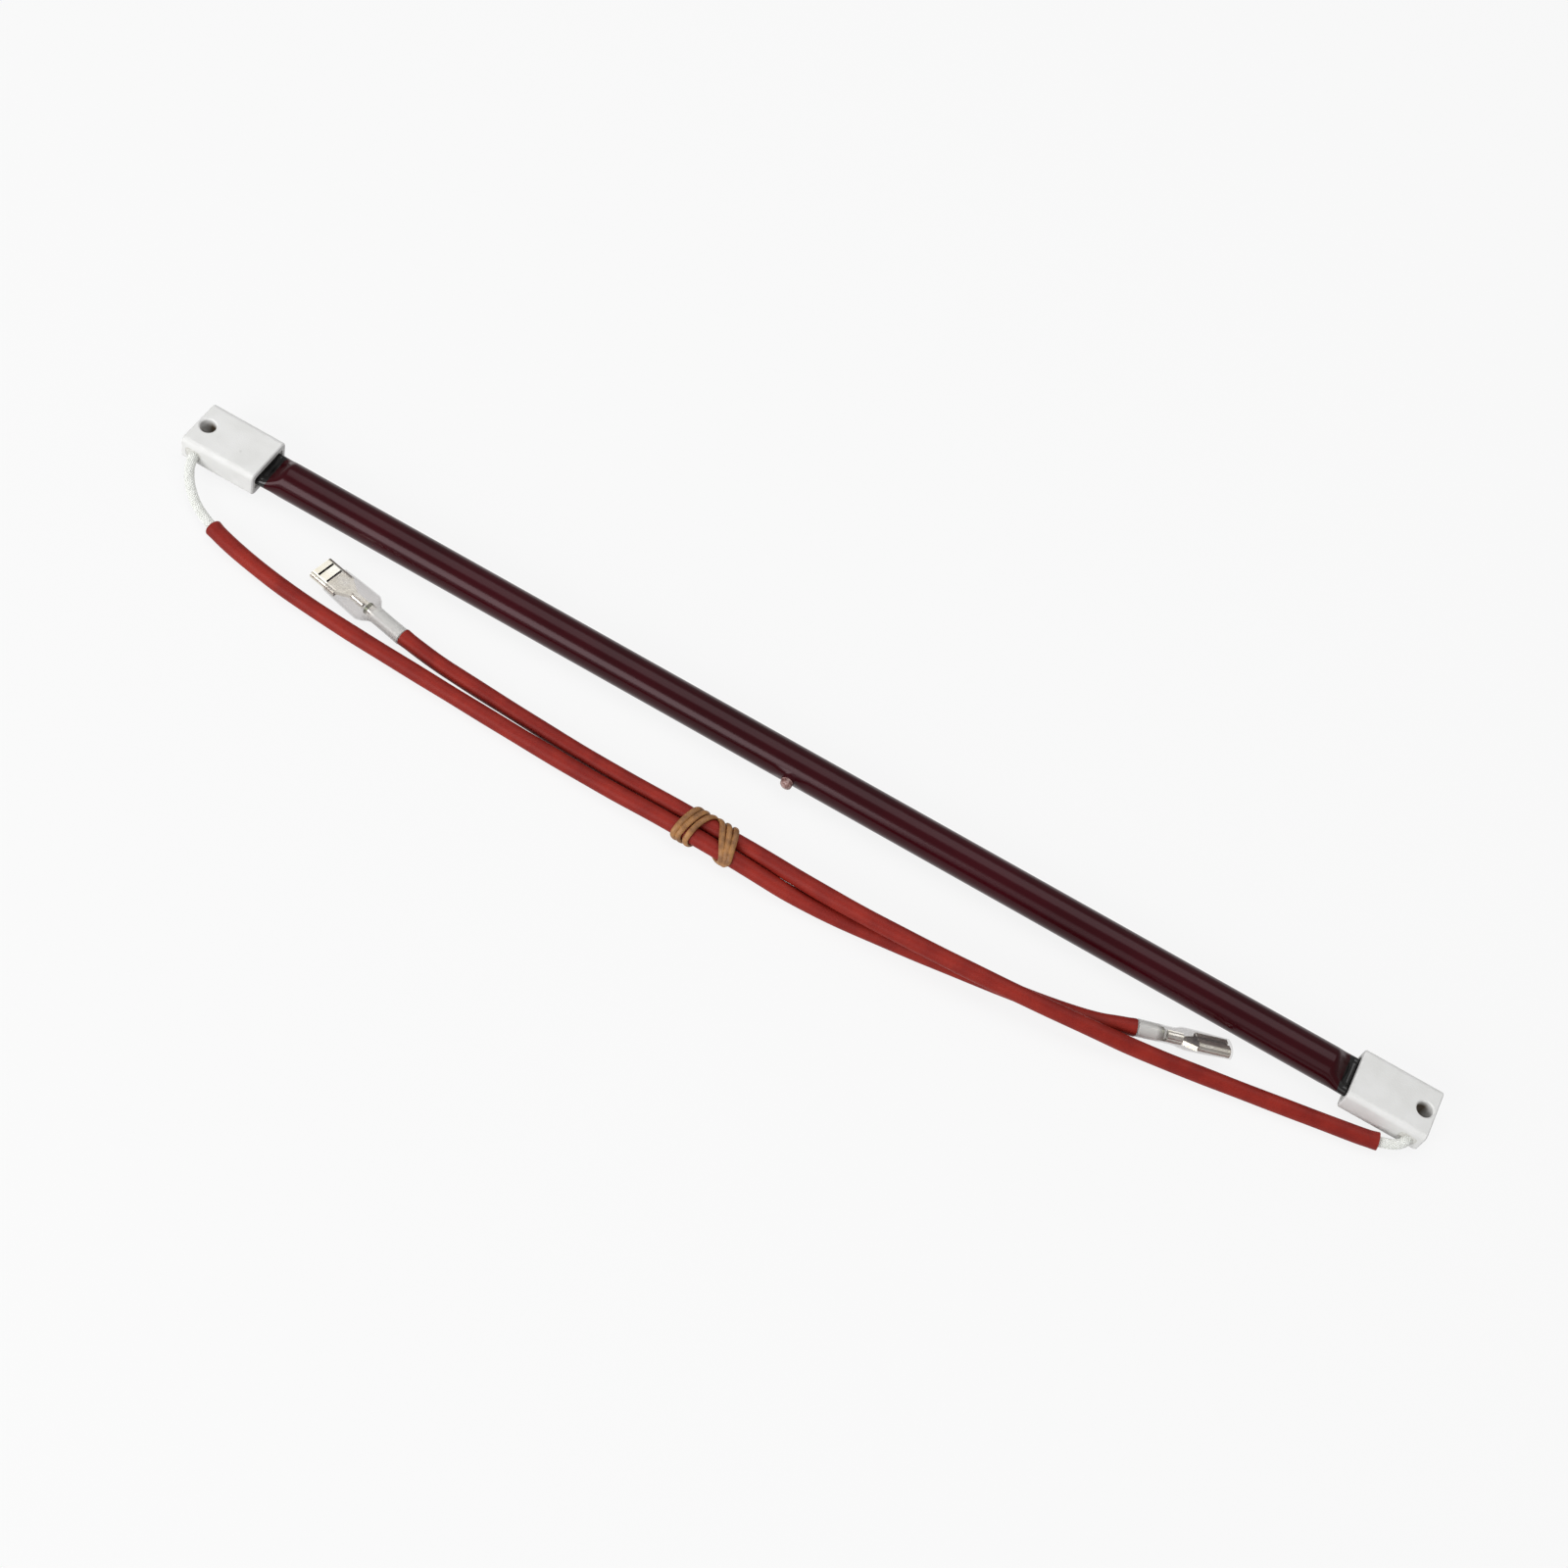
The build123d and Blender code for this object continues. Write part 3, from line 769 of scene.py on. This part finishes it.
def braided_wire(name, path, bare_stretches):
    """Round wire along a line, with its braid as yarns wherever it can be seen."""
    core_rings = rings_along(path, [core_r] * len(path), core_sides)
    mesh = skin(name, core_rings, lengths_along(path), arc=2 * math.pi * core_r)
    curve = bpy.data.curves.new(name + "_bare", "CURVE")
    curve.dimensions = "3D"
    for part in bare_stretches:
        spline = curve.splines.new("POLY")
        spline.points.add(len(part) - 1)
        for point, place in zip(spline.points, part):
            point.co = (*place, 1)
    base = bpy.data.objects.new(name + "_bare", curve)
    bpy.context.scene.collection.objects.link(base)
    sizes = {
        "Yarns": yarns_each_way,
        "Pitch": yarn_pitch,
        "Radius": yarn_line_r,
        "Yarn Radius": yarn_r,
        "Step": yarn_step,
    }
    add_mesh(mesh, made_by(braid_tree, base, "yarn_braid", sizes))
    bpy.data.objects.remove(base)
    mesh.shade_smooth()
    return thing(name, mesh, glass_braid)


lines = {side: spline_line(f"{side}_line", route) for side, route in routes.items()}
wires = {}
for side, path in lines.items():
    whole = lengths_along(path)[-1]
    near_block = stretch(path, braid_from, sleeve_start[side] + braid_overlap)
    near_terminal = stretch(path, whole - sleeve_end_gap[side] - braid_overlap, whole - braid_to_end)
    wires[side] = braided_wire(f"{side}_braided_wire", path, (near_block, near_terminal))
    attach(wires[side], "root")
    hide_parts(f"{side}_lead_wire")

# Sleeves. Loose tubes of braided glass dipped in brick-red silicone, slipped over the wires. Each is
# cut off square, and the cut springs open a little.
sleeve_r = 2.15 * mm
sleeve_bore_r = 1.45 * mm
sleeve_flare = 0.12 * mm
sleeve_flare_length = 2.5 * mm
sleeve_lip = 0.12 * mm
sleeve_waves = ((0.02 * mm, 310, 0), (0.015 * mm, 127, 1))
sleeve_sides = 40
crease_angle = math.radians(50)

red_silicone = finish("red_silicone", (0.28, 0.02, 0.014), 0.5, IOR=1.41, Specular_IOR_Level=0.22)
cloud(red_silicone, (0.265, 0.020, 0.012), (0.195, 0.013, 0.009), 160)
roughen(red_silicone, 2500, 0.00006)

sleeves = {}
for side, path in lines.items():
    whole = lengths_along(path)[-1]
    covered = stretch(path, sleeve_start[side], whole - sleeve_end_gap[side])
    reached = lengths_along(covered)
    radii_out = []
    radii_in = []
    for distance in reached:
        from_end = min(distance, reached[-1] - distance)
        flare = sleeve_flare * (1 - smooth(from_end / sleeve_flare_length))
        wave = sum(size * math.sin(distance * rate + start) for size, rate, start in sleeve_waves)
        lip = sleeve_lip if from_end == 0 else 0
        radii_out.append(sleeve_r + flare + wave - lip)
        radii_in.append(sleeve_bore_r + flare + lip)
    outside = rings_along(covered, radii_out, sleeve_sides)
    inside = rings_along(covered, radii_in, sleeve_sides)
    for ring in outside:
        for point in ring:
            point.z = max(point.z, 0.0)
    mesh = skin(
        f"{side}_red_sleeve",
        outside + inside[::-1],
        reached + reached[::-1],
        loop=True,
        arc=2 * math.pi * sleeve_r,
    )
    mesh.shade_smooth()
    mesh.set_sharp_from_angle(angle=crease_angle)
    sleeves[side] = thing(f"{side}_red_sleeve", mesh, red_silicone)
    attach(sleeves[side], "root")
    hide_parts(f"{side}_lead_sleeve")

# Terminals. Push-on receptacles for a 6.3 mm tab, rolled from tinned brass strip and crimped on the
# bared strands and on the braid. A thin sheet on the floor of each one's pocket is painted shade, and
# the pocket's inside is painted near-black as shade. The crimp is darker than the rest.
wire_in_grip = 4.1 * mm
terminal_roll = {"left": 142.0, "right": 0.0}
pocket_start = 11.9 * mm
pocket_half_width = 3.5 * mm
pocket_half_height = 0.9 * mm
crimp_start = {"left": 2.0 * mm, "right": 2.4 * mm}
crimp_end = {"left": 4.6 * mm, "right": 3.4 * mm}
shade_sheet_size = Vector((7.6, 5.8, 0.12)) * mm
shade_sheet_place = Vector((16.1, 0, -0.74)) * mm


def terminal_frame(route, roll):
    """Place and turn of a terminal, from the end of its lead's route."""
    tail = Vector(route[-1]) * mm
    ahead = (tail - Vector(route[-2]) * mm).normalized()
    side = Vector((0, 0, 1)).cross(ahead)
    up = ahead.cross(side)
    axes = Matrix((ahead, side, up)).transposed().to_4x4()
    start = Matrix.Translation(tail - ahead * wire_in_grip)
    return start @ axes @ Matrix.Rotation(math.radians(roll), 4, "X")


for side, route in routes.items():
    tinned_brass = finish(f"{side}_tinned_brass", (0.72, 0.70, 0.62), 0.24, Metallic=1.0)
    cloud(tinned_brass, (0.84, 0.82, 0.76), (0.70, 0.66, 0.55), 200)
    roughen(tinned_brass, 250, 0.000004)
    tree = tinned_brass.node_tree
    place = tree.nodes.new("ShaderNodeTexCoord")
    local = tree.nodes.new("ShaderNodeMapping")
    local.vector_type = "TEXTURE"
    turned = terminal_frame(route, terminal_roll[side])
    local.inputs["Location"].default_value = turned.translation
    local.inputs["Rotation"].default_value = turned.to_euler()
    parts = tree.nodes.new("ShaderNodeSeparateXYZ")
    tree.links.new(place.outputs["Object"], local.inputs["Vector"])
    tree.links.new(local.outputs["Vector"], parts.inputs[0])
    in_height = within(tree, parts.outputs["Z"], pocket_half_height)
    in_width = within(tree, parts.outputs["Y"], pocket_half_width)
    in_length = sum_of(tree, "GREATER_THAN", parts.outputs["X"], pocket_start)
    # Painted shade: the pocket's inside, near-black.
    tint(tinned_brass, all_of(tree, in_height, in_width, in_length), (0.02, 0.018, 0.015))
    crimp_begun = sum_of(tree, "GREATER_THAN", parts.outputs["X"], crimp_start[side])
    crimp_unended = sum_of(tree, "LESS_THAN", parts.outputs["X"], crimp_end[side])
    tint(tinned_brass, all_of(tree, crimp_begun, crimp_unended), (0.15, 0.17, 0.11))
    dress(f"{side}_lead_terminal", tinned_brass)
    # A thin sheet on the pocket's floor, put there as painted shade and made near-black by the pocket's
    # mask.
    shade_sheet_rings = []
    for end in (-0.5, 0.5):
        ring = []
        for y, z in ((-0.5, -0.5), (0.5, -0.5), (0.5, 0.5), (-0.5, 0.5)):
            corner = Vector((end * shade_sheet_size.x, y * shade_sheet_size.y, z * shade_sheet_size.z))
            ring.append(turned @ (shade_sheet_place + corner))
        shade_sheet_rings.append(ring)
    shade_sheet = thing(f"{side}_pocket_shade_sheet", skin(f"{side}_pocket_shade_sheet", shade_sheet_rings), tinned_brass)
    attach(shade_sheet, "root")

# Terminal covers. Clear soft vinyl sleeves, moulded wide for the receptacle and narrow for the wire,
# with a milky neck. The right lead's cover is pushed back off the mouth of its terminal.
cover_places = ((0, 8.4, 3.6), (-4, 8.8, 3.9), (-8, 9.1, 4.2), (-11.6, 9.2, 4.2), (-12.8, 7.6, 4.2))
cover_places += ((-13.8, 5.2, 4.2), (-14.6, 4.2, 4.2), (-19, 4.15, 4.15), (-23.5, 4.3, 4.3))
cover_wall = 0.25 * mm
cover_sides = 48
cover_bulge = 0.8
terminal_length = 20.0 * mm
mouth_back = {"left": -0.4 * mm, "right": 5.0 * mm}
cover_milky_from = {"left": 17.0 * mm, "right": 12.5 * mm}
cover_milky_run = 2.0 * mm
clear_alpha = 0.17
milky_alpha = 0.55


def vinyl(name, milky_from):
    """Clear vinyl that turns milky from a distance behind the cover's mouth, where it hugs the wire."""
    material = finish(name, (0.38, 0.33, 0.31), 0.25, IOR=1.45)
    cloud(material, (0.40, 0.35, 0.33), (0.33, 0.29, 0.28), 300)
    roughen(material, 500, 0.00002)
    tree = material.node_tree
    unrolled = tree.nodes.new("ShaderNodeUVMap")
    unrolled.uv_map = "UVMap"
    parts = tree.nodes.new("ShaderNodeSeparateXYZ")
    tree.links.new(unrolled.outputs["UV"], parts.inputs[0])
    behind = parts.outputs["X"]
    milky_to = milky_from + cover_milky_run
    alpha = ramp(tree, behind, milky_from, milky_to, clear_alpha, milky_alpha)
    tree.links.new(alpha, tree.nodes["Principled BSDF"].inputs["Alpha"])
    tint(material, ramp(tree, behind, milky_from, milky_to), (0.68, 0.67, 0.65))
    return material


def oval(width, height, x, inset):
    """Flat oval ring of points square to the terminal."""
    ring = []
    for i in range(cover_sides):
        turn = 2 * math.pi * (i + 0.5) / cover_sides
        y = math.copysign(abs(math.cos(turn)) ** cover_bulge, math.cos(turn)) * (width * mm / 2 - inset)
        z = math.copysign(abs(math.sin(turn)) ** cover_bulge, math.sin(turn)) * (height * mm / 2 - inset)
        ring.append(Vector((x, y, z)))
    return ring


covers = {}
for side, route in routes.items():
    mouth = terminal_length - mouth_back[side]
    outside = [oval(width, height, mouth + x * mm, 0) for x, width, height in cover_places]
    inside = [oval(width, height, mouth + x * mm, cover_wall) for x, width, height in cover_places]
    behind = [-x * mm for x, width, height in cover_places]
    mesh = skin(f"{side}_clear_cover", outside + inside[::-1], behind + behind[::-1], loop=True)
    mesh.transform(terminal_frame(route, terminal_roll[side]))
    mesh.shade_smooth()
    mesh.set_sharp_from_angle(angle=crease_angle)
    clear_vinyl = vinyl(f"{side}_clear_vinyl", cover_milky_from[side])
    covers[side] = thing(f"{side}_clear_cover", mesh, clear_vinyl)
    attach(covers[side], "root")
    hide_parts(f"{side}_lead_terminal_cover")

# Rubber band. One loop of amber latex, cut from a tube and wound six times round both leads to hold
# them together. Its turns slant over the leads and go on to the next one below them.
band_half_width = 0.78 * mm
band_half_height = 0.5 * mm
band_sides = 16
band_back_top_front = ((-13.8, -15.9, -16.9), (-11.9, -14.3, -15.6), (-9.6, -12.5, -13.5))
band_back_top_front += ((-9.0, -6.0, -2.9), (-6.8, -4.2, -2.0), (-4.6, -2.6, -1.2))
band_round = ((-24.5, 4.2), (-26.6, 6.7), (-29.9, 6.6), (-33.0, 6.7), (-35.2, 4.2))
band_round += ((-33.6, 0.6), (-26.0, 0.6))
band_under_shares = (0.3, 0.7)
band_points = []
for winding, (back_x, top_x, front_x) in enumerate(band_back_top_front):
    next_back_x = band_back_top_front[(winding + 1) % len(band_back_top_front)][0]
    band_xs = [back_x, (back_x + top_x) / 2, top_x, (top_x + front_x) / 2, front_x]
    band_xs += [front_x + (next_back_x - front_x) * share for share in band_under_shares]
    band_points += [(x, y, z) for x, (y, z) in zip(band_xs, band_round)]
band_line = spline_line("band_line", band_points, closed=True)
band_rings = []
for step, point in enumerate(band_line):
    ahead = (band_line[(step + 1) % len(band_line)] - band_line[step - 1]).normalized()
    side = (Vector((1, 0, 0)) - ahead * ahead.x).normalized()
    up = ahead.cross(side)
    ring = []
    for i in range(band_sides):
        turn = 2 * math.pi * i / band_sides
        along = side * (math.cos(turn) * band_half_width)
        out = up * (math.sin(turn) * band_half_height)
        ring.append(point + along + out)
    band_rings.append(ring)
latex = finish("latex", (0.36, 0.17, 0.055), 0.5, Specular_IOR_Level=0.35)
cloud(latex, (0.40, 0.19, 0.065), (0.20, 0.09, 0.035), 450)
roughen(latex, 3000, 0.00005)
band_mesh = skin("wound_band", band_rings, loop=True)
band_mesh.shade_smooth()
band = thing("wound_rubber_band", band_mesh, latex)
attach(band, "root")
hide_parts("rubber_band")

# Studio. A pale floor under the lamp, a soft light from the front left, a weak one from the front
# right and the widest overhead, and the camera at the photograph's viewing angle.
floor_reach = 2.0
floor_depth = 0.01
floor_colour = (0.62, 0.62, 0.62)
floor_white_share = 0.86
sky_light = 0.38

floor_corners = ((-1, -1), (1, -1), (1, 1), (-1, 1))
floor_rings = []
for z in (-floor_depth, 0):
    floor_rings.append([Vector((x * floor_reach, y * floor_reach, z)) for x, y in floor_corners])
floor = thing("floor", skin("floor", floor_rings))
paper = finish("floor_paper", floor_colour, 0.9)
paper_nodes = paper.node_tree.nodes
seen = paper_nodes.new("ShaderNodeLightPath")
glow = paper_nodes.new("ShaderNodeEmission")
blend = paper_nodes.new("ShaderNodeMixShader")
direct = sum_of(paper.node_tree, "MAXIMUM", seen.outputs["Is Camera Ray"], seen.outputs["Is Glossy Ray"])
direct = sum_of(paper.node_tree, "MAXIMUM", direct, seen.outputs["Is Transmission Ray"])
direct = sum_of(paper.node_tree, "MULTIPLY", direct, floor_white_share)
chain(
    paper.node_tree,
    (direct, blend.inputs["Fac"]),
    (paper_nodes["Principled BSDF"].outputs[0], blend.inputs[1]),
    (glow.outputs[0], blend.inputs[2]),
    (blend.outputs[0], paper_nodes["Material Output"].inputs["Surface"]),
)
floor.data.materials.append(paper)

world = bpy.data.worlds.new("studio")
world.use_nodes = True
bpy.context.scene.world = world
sky = world.node_tree.nodes["Background"]
sky.inputs["Color"].default_value = (1, 1, 1, 1)
sky.inputs["Strength"].default_value = sky_light


def soft_light(name, place, aim, width, height, watts):
    """Rectangular studio light that faces a point."""
    lamp = bpy.data.lights.new(name, "AREA")
    lamp.shape = "RECTANGLE"
    lamp.size = width
    lamp.size_y = height
    lamp.energy = watts
    light = bpy.data.objects.new(name, lamp)
    light.location = place
    light.rotation_euler = (Vector(aim) - Vector(place)).to_track_quat("-Z", "Y").to_euler()
    bpy.context.scene.collection.objects.link(light)


soft_light("front_light", (-0.45, -0.92, 0.42), (-0.05, 0, 0), 0.9, 0.6, 8.5)
soft_light("fill_light", (0.25, -0.95, 0.50), (0.05, 0, 0), 0.4, 0.6, 0.8)
soft_light("top_light", (-0.05, 0.28, 1.10), (0, 0, 0), 1.3, 0.85, 6.4)

camera_place = Vector((0.052559, -0.331040, 0.489475))
camera_yaw = math.radians(-9.262)
camera_pitch = math.radians(55.847)
camera_roll = math.radians(21.697)
focal_mm = 53.99
sensor_mm = 36

forward = Vector((
    math.sin(camera_yaw) * math.cos(camera_pitch),
    math.cos(camera_yaw) * math.cos(camera_pitch),
    -math.sin(camera_pitch),
))
level = Vector((math.cos(camera_yaw), -math.sin(camera_yaw), 0))
upward = level.cross(forward)
right = math.cos(camera_roll) * level + math.sin(camera_roll) * upward
up = math.cos(camera_roll) * upward - math.sin(camera_roll) * level
lens = bpy.data.cameras.new("camera")
lens.lens = focal_mm
lens.sensor_width = sensor_mm
lens.clip_start = 0.01
camera = bpy.data.objects.new("camera", lens)
axes = Matrix((right, up, -forward)).transposed()
camera.matrix_world = Matrix.Translation(camera_place) @ axes.to_4x4()
bpy.context.scene.collection.objects.link(camera)
bpy.context.scene.camera = camera
bpy.context.scene.view_settings.view_transform = "Standard"
